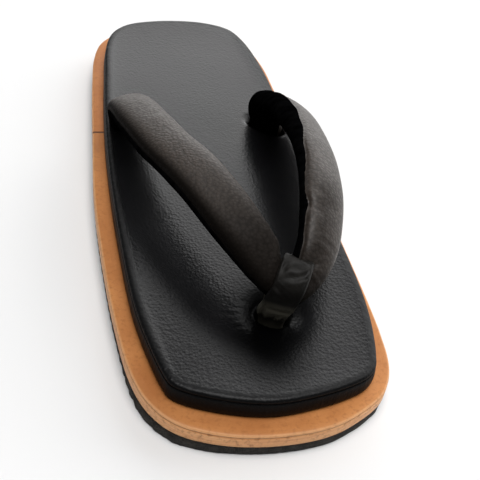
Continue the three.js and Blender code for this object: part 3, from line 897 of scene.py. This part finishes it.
class SANDAL_OT_welt(bpy.types.Operator):
    """Make the two tan leather boards that butt under the arch"""

    bl_idname = "sandal.welt"
    bl_label = "Welt boards"

    def execute(self, context):
        colours = context.scene.sandal_colours
        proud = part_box("welt_front")[1].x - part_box("outsole")[1].x
        edge = spaced(frame_edge("outsole", OUTSOLE_EDGE_Z), EDGE_POINTS, closed=True)
        edge = inset_ring(edge, -proud, 0)
        for name, node, toward, warmth in (
                ("welt_front_leather", "welt_front", -1, 0.0),
                ("welt_heel_leather", "welt_heel", 1, HEEL_WARMTH)):
            bm = layer(WELT_SIDE, edge, OUTSOLE_TOP)
            joint = (0, WELT_JOINT_Y + toward * JOINT_GAP / 4, 0)
            cut = bmesh.ops.bisect_plane(
                bm, geom=bm.verts[:] + bm.edges[:] + bm.faces[:], dist=LEVEL_SLACK, plane_co=joint,
                plane_no=(0, -toward, 0), clear_outer=True)
            rim = [e for e in cut["geom_cut"] if isinstance(e, bmesh.types.BMEdge)]
            bmesh.ops.edgeloop_fill(bm, edges=rim)
            bmesh.ops.bevel(
                bm, geom=rim, offset=WELT_JOINT_BEVEL, offset_type="OFFSET", segments=2, profile=0.5,
                affect="EDGES", material=-1)
            finish = tan_finish(name, colours.tan_top, colours.tan_side, warmth)
            board = finish_piece(name, bm, finish, node)
            board.data.set_sharp_from_angle(angle=math.radians(BOARD_CRISP))
        return {"FINISHED"}


# Footbed

def patch_sides(loop):
    """The loop's outer toe, inner toe, inner heel and outer heel corners split it into four lines."""
    half_x = max(abs(p.x) for p in loop)
    half_y = max(abs(p.y) for p in loop)
    corners = [
        max(range(len(loop)), key=lambda i: side_x * loop[i].x / half_x + side_y * loop[i].y / half_y)
        for side_x, side_y in ((-1, -1), (1, -1), (1, 1), (-1, 1))]
    lines = []
    for a, b in zip(corners, corners[1:] + corners[:1]):
        span = (b - a) % len(loop)
        lines.append([loop[(a + i) % len(loop)] for i in range(span + 1)])
    counts = (TOP_ACROSS, TOP_ALONG, TOP_ACROSS, TOP_ALONG)
    return [spaced(line, count + 1) for line, count in zip(lines, counts)]


def segment_distance(point, a, b):
    """How far a plan point lies from a line, and how far along it from its middle."""
    line = b - a
    ahead = (point - a).dot(line.normalized())
    beside = (point - a).cross(line.normalized())
    return beside, ahead - line.length / 2


def mouths():
    """Where the strap's ends and the thong enter the footbed: middle, width direction, half sizes."""
    (front, across), (rear, _) = (thong_place(THONG_LOOP[row]) for row in THONG_MOUTH_ROWS)
    places = [((front + rear) / 2, across, *THONG_MOUTH)]
    for arm in (OUTER_ARM, INNER_ARM):
        x, y, _, heading, _, width, thick = arm[MOUTH_ROW]
        places.append((Vector((x, y, 0)) * MM, direction(heading, 0), width / 2 * MM, thick / 2 * MM))
    return places


def mouth_dip(point, mouth):
    """The leather turns down toward a hole's edge."""
    middle, across, half_width, half_thick = mouth
    apart = Vector((point.x - middle.x, point.y - middle.y, 0))
    sideways = abs(apart.dot(across)) / half_width
    onward = abs(apart.dot(across.cross(Vector((0, 0, 1))))) / half_thick
    reach = (sideways ** PAD_SQUARENESS + onward ** PAD_SQUARENESS) ** (1 / PAD_SQUARENESS)
    outside = (reach - 1) * min(half_width, half_thick)
    return MOUTH_DEPTH * (1 - smooth(*MOUTH_SPAN, outside)) ** 2


def bed_height(point, across, along, nearest, sizes, places):
    """Height of the footbed's top at a plan point. Its places across and along the bed run from -1 to 1."""
    dished = (1 - abs(across) ** DISH_EVENNESS[0]) * (1 - abs(along) ** DISH_EVENNESS[1])
    height = FOOTBED_TOP - sizes.dish * dished
    reach = math.hypot(point.x - THONG_FOOT.x, point.y - THONG_FOOT.y) / DIMPLE_RADIUS
    if reach < 1:
        height -= sizes.dimple * (0.5 + 0.5 * math.cos(math.pi * reach))
    plan = Vector((point.x, point.y))
    for ax, ay, bx, by, width, depth in FOOTBED_CREASES:
        aside, ahead = segment_distance(plan, Vector((ax, ay)) * MM, Vector((bx, by)) * MM)
        length = math.hypot(bx - ax, by - ay) * MM
        height += crease(aside, ahead, length, width * MM, depth * MM)
    uneven = noise.noise(Vector((point.x, point.y, 0)) / BED_WAVE_SPAN)
    height += BED_WAVE_HEIGHT * uneven * smooth(0.0, BED_WAVE_START, nearest)
    return height - max(mouth_dip(point, mouth) for mouth in places) * smooth(0.0, BROW_WIDTH, nearest)


class SANDAL_OT_footbed(bpy.types.Operator):
    """Make the leather-covered footbed with its rolled edge, dish, hollow and holes' mouths"""

    bl_idname = "sandal.footbed"
    bl_label = "Footbed"

    def execute(self, context):
        sizes = context.scene.sandal_sizes
        toe, inner, heel, outer = patch_sides(frame_edge("footbed", WELT_TOP + FOOTBED_EDGE_RISE))
        edge = toe[:-1] + inner[:-1] + heel[:-1] + outer[:-1]
        bm = layer(FOOTBED_SIDE, edge, WELT_TOP, closed_end=False, marks=("dark",))
        brow_inset, _ = FOOTBED_SIDE[-1]
        brow = inset_ring(edge, brow_inset * MM, 0)
        starts = [0, TOP_ACROSS, TOP_ACROSS + TOP_ALONG, 2 * TOP_ACROSS + TOP_ALONG, len(brow)]
        lines = [(brow + brow[:1])[a:b + 1] for a, b in zip(starts, starts[1:])]
        toe, inner, heel, outer = lines[0], lines[1], lines[2][::-1], lines[3][::-1]
        tree = kdtree.KDTree(len(brow))
        for i, point in enumerate(brow):
            tree.insert(point, i)
        tree.balance()
        places = mouths()
        brow_girth = girths(FOOTBED_SIDE)[-1]
        grid = bmesh.ops.create_grid(bm, x_segments=TOP_ACROSS, y_segments=TOP_ALONG, size=1)["verts"]
        girth, dark = (bm.verts.layers.float[name] for name in ("girth", "dark"))
        for vert in grid:
            i = round((vert.co.x + 1) / 2 * TOP_ACROSS)
            j = round((vert.co.y + 1) / 2 * TOP_ALONG)
            u, v = i / TOP_ACROSS, j / TOP_ALONG
            flat = (toe[i] * (1 - v) + heel[i] * v + outer[j] * (1 - u) + inner[j] * u
                    - (toe[0] * (1 - u) + toe[-1] * u) * (1 - v) - (heel[0] * (1 - u) + heel[-1] * u) * v)
            nearest = tree.find(flat)[2]
            vert.co = (flat.x, flat.y, bed_height(flat, 2 * u - 1, 2 * v - 1, nearest, sizes, places))
            vert[girth] = brow_girth + nearest
            # Painted shade: a dark patch before the thong for the joint's shadow and dark reflection, and
            # darker holes' mouths
            apart = vert.co - PAINTED_SHADE_MIDDLE
            from_thong = math.hypot(apart.x, apart.y * PAINTED_SHADE_STRETCH)
            shade_before_thong = PAINTED_SHADE_DARKNESS * (1 - smooth(*PAINTED_SHADE_REACH, from_thong))
            in_mouth = max(mouth_dip(vert.co, mouth) for mouth in places) / MOUTH_DEPTH
            vert[dark] = max(shade_before_thong, in_mouth ** 0.5)
        bmesh.ops.remove_doubles(bm, verts=bm.verts, dist=SAME_BROW_POINT)
        finish = footbed_finish(context.scene.sandal_colours.footbed)
        footbed = finish_piece("footbed_leather", bm, finish, "footbed")
        return {"FINISHED"}


# Strap

def direction(heading, lean):
    """A unit vector with a heading in plan and a lean up from it, in degrees."""
    turn, rise = math.radians(heading), math.radians(lean)
    return Vector((math.cos(turn) * math.cos(rise), math.sin(turn) * math.cos(rise), math.sin(rise)))


def strap_rows():
    """Both arms as one strap: up the outer arm, through the joint and back along the inner arm."""
    turned = [(x, y, z, heading + 180, -lean, width, thick)
              for x, y, z, heading, lean, width, thick in reversed(INNER_ARM)]
    return OUTER_ARM + turned


def power(value, exponent):
    """A power of the value's size, with its sign kept."""
    return math.copysign(abs(value) ** exponent, value)


class Strip:
    """A padded strip through its rows: where a point of its surface lies."""

    def __init__(self, middles, widths, sizes, squareness, under_share):
        self.middles, self.widths, self.sizes = middles, widths, sizes
        self.squareness, self.under_share = squareness, under_share
        self.last = len(middles) - 1
        self.fine = [self.last * i / STRIP_STEPS for i in range(STRIP_STEPS + 1)]
        self.reached = [0.0]
        for a, b in zip(self.fine, self.fine[1:]):
            step = (catmull(middles, b) - catmull(middles, a)).length
            self.reached.append(self.reached[-1] + step)

    def row_at(self, distance):
        """The row place at a distance along the strip."""
        high = min(bisect_right(self.reached, distance), STRIP_STEPS)
        low = high - 1
        share = (distance - self.reached[low]) / (self.reached[high] - self.reached[low])
        return self.fine[low] + (self.fine[high] - self.fine[low]) * share

    def stations(self, step):
        """Even places along the strip: distance, row place and size."""
        total = self.reached[-1]
        count = int(total / step)
        for i in range(count + 1):
            row = self.row_at(total * i / count)
            yield total * i / count, row, catmull(self.sizes, row)

    def distance_at(self, row):
        """The distance along the strip at a row place."""
        place = row / self.last * STRIP_STEPS
        low = min(int(place), STRIP_STEPS - 1)
        return self.reached[low] + (self.reached[low + 1] - self.reached[low]) * (place - low)

    def axes(self, row):
        """The section at a row place: middle, directions of its width and top, width and thickness."""
        ahead, behind = min(row + ROW_NUDGE, self.last), max(row - ROW_NUDGE, 0)
        tangent = (catmull(self.middles, ahead) - catmull(self.middles, behind)).normalized()
        across = catmull(self.widths, row)
        across = (across - tangent * across.dot(tangent)).normalized()
        size = catmull(self.sizes, row)
        return catmull(self.middles, row), across, tangent.cross(across), size.x, size.y

    def point(self, axes, angle):
        """A point of the rounded section at an angle from its width's direction."""
        middle, across, out, width, thick = axes
        share = self.under_share if math.sin(angle) < 0 else 1 - self.under_share
        exponent = 2 / self.squareness
        return (middle + across * (width / 2 * power(math.cos(angle), exponent))
                + out * (thick * share * power(math.sin(angle), exponent)))

    def ring(self, row, angles, swell):
        """Points round the section, each moved out from it by the swell at its angle."""
        axes = self.axes(row)
        points = []
        for angle in angles:
            here = self.point(axes, angle)
            along = self.point(axes, angle + ANGLE_NUDGE) - self.point(axes, angle - ANGLE_NUDGE)
            normal = along.cross(axes[1].cross(axes[2])).normalized()
            points.append(here + normal * swell(angle))
        return points


def strap_strip():
    """The strap through its rows, in the frame."""
    rows = strap_rows()
    return Strip(
        [Vector(row[:3]) * MM for row in rows], [direction(row[3], row[4]) for row in rows],
        [Vector((row[5], row[6], 0)) * MM for row in rows], PAD_SQUARENESS, PAD_UNDER_SHARE)


def seam_angles(row):
    """Angles of the two seams at a row place, in radians."""
    at = next(i for i in range(len(SEAMS) - 1) if row <= SEAMS[i + 1][0] or i == len(SEAMS) - 2)
    (low_row, *low), (high_row, *high) = SEAMS[at:at + 2]
    share = smooth(low_row, high_row, row)
    return [math.radians(a + (b - a) * share) for a, b in zip(low, high)]


def turn_between(a, b):
    """Smallest turn from one angle to another."""
    return abs((a - b + math.pi) % (2 * math.pi) - math.pi)


def strap_relief(strip, row, distance, girth, sizes):
    """Swell of the strap's skin at each angle: seams, creases, lumps and the pleats at its roots."""
    inside, outside = seam_angles(row)
    height = catmull(strip.middles, row).z
    pleat = smooth(ROOT_PLEAT_TOP, FOOTBED_TOP, height)
    near = [c for c in STRAP_CREASES if abs(strip.distance_at(c[0]) - distance) < c[3] * MM]
    radius = girth / (2 * math.pi)

    def swell(angle):
        """Swell at one angle."""
        seam = min(turn_between(angle, inside), turn_between(angle, outside)) * radius
        amount = -SEAM_DEPTH * math.exp(-((seam / SEAM_HALF_WIDTH) ** 2))
        for at, middle, *shape in near:
            sideways = (angle - math.radians(middle)) * radius
            amount += turned_crease(distance - strip.distance_at(at), sideways, *shape)
        where = Vector((distance, math.cos(angle) * radius, math.sin(angle) * radius)) / LUMP_SPAN
        amount += sizes.lumps * noise.noise(where)
        amount += pleat * ROOT_PLEAT_DEPTH * (math.cos(angle * ROOT_PLEATS) - 1)
        return amount

    return swell


def painted_shade_at(row, angle, girth):
    """How much painted shade darkens the leather at a place of the strap, from 0 to 1."""
    _, outside = seam_angles(row)
    from_edge = turn_between(angle, outside) * girth / (2 * math.pi)
    at_edge = (1 - smooth(*PAINTED_EDGE_SHADE, from_edge)) * (1 - smooth(JOINT_ROW, JOINT_ROW + 1, row))
    start, full, fading, end = PAINTED_BAND_SHADE["rows"]
    beside = math.degrees(turn_between(angle, math.radians(PAINTED_BAND_SHADE["angle"]))) / PAINTED_BAND_SHADE["width"]
    in_band = smooth(start, full, row) * (1 - smooth(fading, end, row)) * math.exp(-beside * beside)
    far, near, onward, beyond = PAINTED_JOINT_SHADE["rows"]
    at_joint = smooth(far, near, row) * (1 - smooth(onward, beyond, row)) * PAINTED_JOINT_SHADE["depth"]
    return 1 - (1 - at_edge * PAINTED_EDGE_DARKNESS) * (1 - in_band * PAINTED_BAND_SHADE["depth"]) * (1 - at_joint)


def thong_place(row):
    """A row of the thong, from its leaning plane into the frame: middle and width direction."""
    along, z = row[0] * MM, row[1] * MM
    share = smooth(THONG_FOOT.z, THONG_TOP.z, z)
    middle = THONG_FOOT.lerp(THONG_TOP, share) + direction(THONG_HEADING + 90, 0) * along
    middle.z = z
    return middle, direction(THONG_HEADING, THONG_LEAN * share)


def thong_strip():
    """The thong's loop through its rows, in the frame."""
    placed = [thong_place(row) for row in THONG_LOOP]
    return Strip(
        [middle for middle, _ in placed], [across for _, across in placed],
        [Vector((row[2], row[3], 0)) * MM for row in THONG_LOOP], THONG_SQUARENESS, 0.5)


def loop_inside():
    """Room inside the thong's loop: its inner face's distance from the loop's core, by angle."""
    core, room = Vector(THONG_CORE), []
    rows = [Vector((along, z)) for along, z, _, _ in THONG_LOOP[THONG_FREE_ROWS]]
    thicks = [thick for _, _, _, thick in THONG_LOOP[THONG_FREE_ROWS]]
    for i in range(ROOM_STEPS + 1):
        place = (len(rows) - 1) * i / ROOM_STEPS
        apart = catmull(rows, place) - core
        face = (apart.length - catmull(thicks, place) / 2) * MM
        room.append((math.atan2(apart.y, apart.x), face))
    return sorted(room)


def held_in(point, room):
    """A point of the strap drawn in where the thong's loop holds it."""
    back, across = direction(THONG_HEADING + 90, 0), direction(THONG_HEADING, 0)
    share = smooth(THONG_FOOT.z, THONG_TOP.z, point.z)
    middle = THONG_FOOT.lerp(THONG_TOP, share)
    apart = point - Vector((middle.x, middle.y, point.z))
    hold = 1 - smooth(*HOLD_WIDTH, abs(apart.dot(across)))
    along, rise = apart.dot(back) - THONG_CORE[0] * MM, point.z - THONG_CORE[1] * MM
    angle, reach = math.atan2(rise, along), math.hypot(along, rise)
    allowed = min(room, key=lambda entry: turn_between(entry[0], angle))[1] - THONG_CLEARANCE
    hold *= 1 - smooth(*HOLD_REACH, reach - allowed)
    if reach <= allowed or not hold:
        return point
    pull = (reach - allowed) * hold / reach
    return point - back * (along * pull) - Vector((0, 0, rise * pull))


class SANDAL_OT_strap(bpy.types.Operator):
    """Make the padded leather strap, its two arms joined at the thong, and its lining"""

    bl_idname = "sandal.strap"
    bl_label = "Strap"

    def execute(self, context):
        sizes, colours = context.scene.sandal_sizes, context.scene.sandal_colours
        strip, room = strap_strip(), loop_inside()
        angles = [2 * math.pi * i / STRAP_AROUND - math.pi / 2 for i in range(STRAP_AROUND)]
        leather, leather_marks, lining = [], [], []
        for distance, row, size in strip.stations(STRAP_STEP):
            girth = 2 * (size.x + size.y) * GIRTH_SHARE
            swell = strap_relief(strip, row, distance, girth, sizes)
            leather.append([held_in(p, room) for p in strip.ring(row, angles, swell)])
            # The dark mark is painted shade on the leather
            leather_marks.append({
                "along": distance, "girth": [girth * a / (2 * math.pi) for a in angles],
                "dark": [painted_shade_at(row, angle, girth) for angle in angles]})
            inside, outside = seam_angles(row)
            start, end = outside - 2 * math.pi, inside
            half = [start + (end - start) * k / LINING_AROUND for k in range(LINING_AROUND + 1)]

            def nap(angle):
                """Swell of the lining, which lies proud of the leather and is tucked in at its edges."""
                at_edge = min(angle - start, end - angle) * girth / (2 * math.pi)
                proud = LINING_PROUD * smooth(0.0, LINING_EDGE_WIDTH, at_edge) - LINING_EDGE_SUNK
                return swell(angle) + proud

            under = strip.ring(row, half, nap)
            over = strip.ring(row, half[-2:0:-1], lambda a: swell(a) - LINING_SUNK)
            lining.append([held_in(p, room) for p in under + over])
        bm = new_skin("along", "girth", "dark")
        skin(bm, leather, leather_marks)
        finish = strap_finish(colours.strap, sizes.grain)
        strap = finish_piece("strap_leather", bm, finish, "strap_upper")
        bm = new_skin()
        skin(bm, lining)
        finish_piece("strap_lining", bm, lining_finish(colours.lining))
        return {"FINISHED"}


class SANDAL_OT_thong(bpy.types.Operator):
    """Make the leather loop that ties the strap down between the toes"""

    bl_idname = "sandal.thong"
    bl_label = "Toe thong"

    def execute(self, context):
        strip, rings = thong_strip(), []
        total = strip.reached[-1]
        angles = [2 * math.pi * i / THONG_AROUND for i in range(THONG_AROUND)]
        for distance, row, size in strip.stations(THONG_STEP):

            def swell(angle):
                """Swell of the thong's skin: creases, rolled rims and lumps."""
                sideways = math.cos(angle) * size.x / 2
                amount = sum(
                    turned_crease(distance - share * total, sideways - across * size.x / 2, *shape)
                    for share, across, *shape in THONG_CREASES)
                rim = (abs(sideways) / (size.x / 2) - THONG_RIM_PLACE) / THONG_RIM_BREADTH
                where = Vector((distance, sideways, math.sin(angle) * size.y)) / THONG_LUMP_SPAN
                amount += THONG_RIM_HEIGHT * math.exp(-rim * rim)
                return amount + THONG_LUMP_HEIGHT * noise.noise(where)

            rings.append(strip.ring(row, angles, swell))
        bm = new_skin()
        skin(bm, rings)
        finish = thong_finish(context.scene.sandal_colours.thong)
        finish_piece("thong_leather", bm, finish, "toe_thong")
        return {"FINISHED"}


# Stage

def aim(thing, place, goal, roll=0.0):
    """The light or camera stands at a place and looks at a goal."""
    look = (goal - place).to_track_quat("-Z", "Y").to_matrix().to_4x4()
    thing.matrix_world = Matrix.Translation(place) @ look @ Matrix.Rotation(math.radians(roll), 4, "Z")


def soft_light(name, azimuth, elevation, width, strength):
    """A far, wide, even light: azimuth from +Y toward +X, elevation and width in degrees."""
    light = bpy.data.lights.new(name, "SUN")
    light.energy = strength
    light.angle = math.radians(width)
    aim(new_object(name, light), direction(90 - azimuth, elevation), Vector((0, 0, 0)))


class Room(Nodes):
    """The light of the surroundings, by direction."""

    PLACE = "Generated"


def light_room(tree):
    """Dim air with the bright backdrop; where the camera looks past the floor it is white."""
    room = Room(tree)
    middle = direction(90 - BACKDROP_AZIMUTH, 0)
    toward = room.add("VectorMath", {0: room.place, 1: middle}, operation="DOT_PRODUCT").outputs["Value"]
    height = room.add("SeparateXYZ", {0: room.place}).outputs[2]
    low, high = BACKDROP_HEIGHTS
    glow = room.maths(
        "MULTIPLY", room.spread(toward, *BACKDROP_SPREAD, interpolation_type="SMOOTHSTEP"),
        room.spread(height, low, high, 1.0, 0.0, interpolation_type="SMOOTHSTEP"))
    strength = room.maths("ADD", room.maths("MULTIPLY", glow, BACKDROP_LIGHT), AIR_LIGHT)
    seen = room.add("LightPath").outputs["Is Camera Ray"]
    air = tree.nodes["Background"]
    air.inputs["Color"].default_value = (1, 1, 1, 1)
    tree.links.new(room.spread(seen, 0.0, 1.0, strength, 1.0), air.inputs["Strength"])


class SANDAL_OT_stage(bpy.types.Operator):
    """Make the pale floor, the soft light and the camera"""

    bl_idname = "sandal.stage"
    bl_label = "Stage"

    def execute(self, context):
        scene = context.scene
        bm = bmesh.new()
        bmesh.ops.create_circle(bm, cap_ends=True, segments=FLOOR_SIDES, radius=scene.sandal_sizes.floor)
        bmesh.ops.translate(bm, vec=(0, 0, -FLOOR_DROP), verts=bm.verts)
        paper = Finish("pale_floor", FLOOR_COLOUR, 0.8, Specular_IOR_Level=0.1)
        mesh_object("floor", bm, paper.material)

        scene.world = bpy.data.worlds.new("soft_room")
        scene.world.use_nodes = True
        light_room(scene.world.node_tree)
        for light in LIGHTS:
            soft_light(*light)
        scene.view_settings.view_transform = "Standard"
        scene.view_settings.look = "None"

        camera = new_object("camera", bpy.data.cameras.new("camera"))
        camera.data.lens = CAMERA_LENS
        camera.data.sensor_width = CAMERA_SENSOR
        camera.data.clip_start = 0.01
        aim(camera, CAMERA_PLACE, CAMERA_AIM, CAMERA_ROLL)
        scene.camera = camera
        return {"FINISHED"}


class SANDAL_PT_panel(bpy.types.Panel):
    """Lists the sandal's sizes, colours and pieces"""

    bl_label = "Sandal"
    bl_idname = "SANDAL_PT_panel"
    bl_space_type = "VIEW_3D"
    bl_region_type = "UI"
    bl_category = "Sandal"

    def draw(self, context):
        for group in (context.scene.sandal_sizes, context.scene.sandal_colours):
            for name in group.__annotations__:
                self.layout.prop(group, name)
        for operator in OPERATORS:
            self.layout.operator(operator.bl_idname)


OPERATORS = (
    SANDAL_OT_outsole, SANDAL_OT_welt, SANDAL_OT_footbed, SANDAL_OT_strap, SANDAL_OT_thong, SANDAL_OT_stage)
CLASSES = (SandalSizes, SandalColours, *OPERATORS, SANDAL_PT_panel)


def register():
    """Adds the operators, the panel and the sandal's sizes and colours."""
    for cls in CLASSES:
        bpy.utils.register_class(cls)
    bpy.types.Scene.sandal_sizes = PointerProperty(type=SandalSizes)
    bpy.types.Scene.sandal_colours = PointerProperty(type=SandalColours)


def unregister():
    """Takes them away again."""
    del bpy.types.Scene.sandal_colours
    del bpy.types.Scene.sandal_sizes
    for cls in reversed(CLASSES):
        bpy.utils.unregister_class(cls)


def main():
    """Makes the whole sandal and its stage."""
    register()
    bpy.ops.sandal.outsole()
    bpy.ops.sandal.welt()
    bpy.ops.sandal.footbed()
    bpy.ops.sandal.strap()
    bpy.ops.sandal.thong()
    bpy.ops.sandal.stage()


if __name__ == "__main__":
    main()
